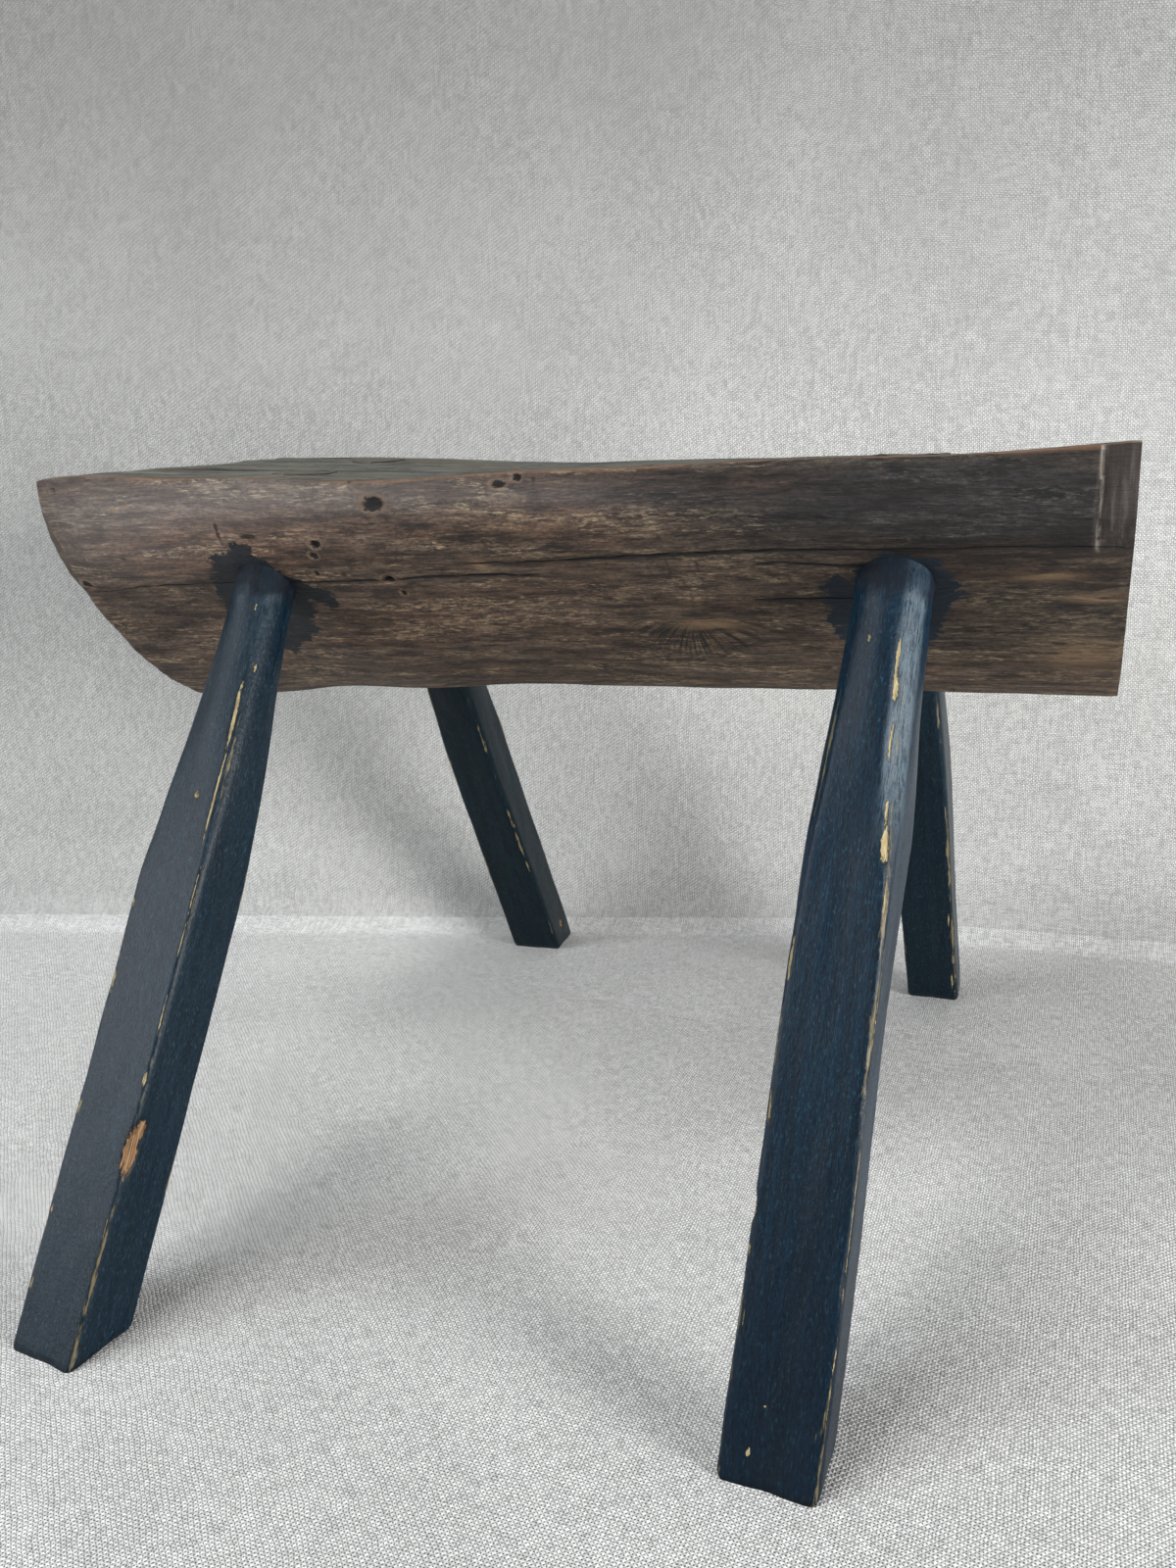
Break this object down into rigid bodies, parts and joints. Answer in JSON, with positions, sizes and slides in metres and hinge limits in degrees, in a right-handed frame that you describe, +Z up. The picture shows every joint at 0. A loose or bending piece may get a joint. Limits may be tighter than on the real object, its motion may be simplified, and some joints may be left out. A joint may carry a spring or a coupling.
{
  "type": "split log stool",
  "caption": "Low stool made of half a log, flat split face up, on splayed squared legs held by wedged round tenons.",
  "frame": {"origin": "on the floor, midway between the outermost points of the stool", "axes": "+X along the log to the right as seen from the front, -Y to the front, +Z up"},
  "size_m": [0.5734, 0.6097, 0.426],
  "materials": {
    "log_wood": "weathered bare wood, dark brown with tan flecks",
    "painted_leg": "dark blue-black paint on wood, worn on the edges",
    "wedge_wood": "bare end-grain hardwood, weathered"
  },
  "bodies": {
    "root": {"seat_log": "log_wood", "leg_front_left": "painted_leg", "leg_front_right": "painted_leg", "leg_back_left": "painted_leg", "leg_back_right": "painted_leg", "wedge_front_left": "wedge_wood", "wedge_front_right": "wedge_wood", "wedge_back_left": "wedge_wood", "wedge_back_right": "wedge_wood"}
  },
  "joints": []
}
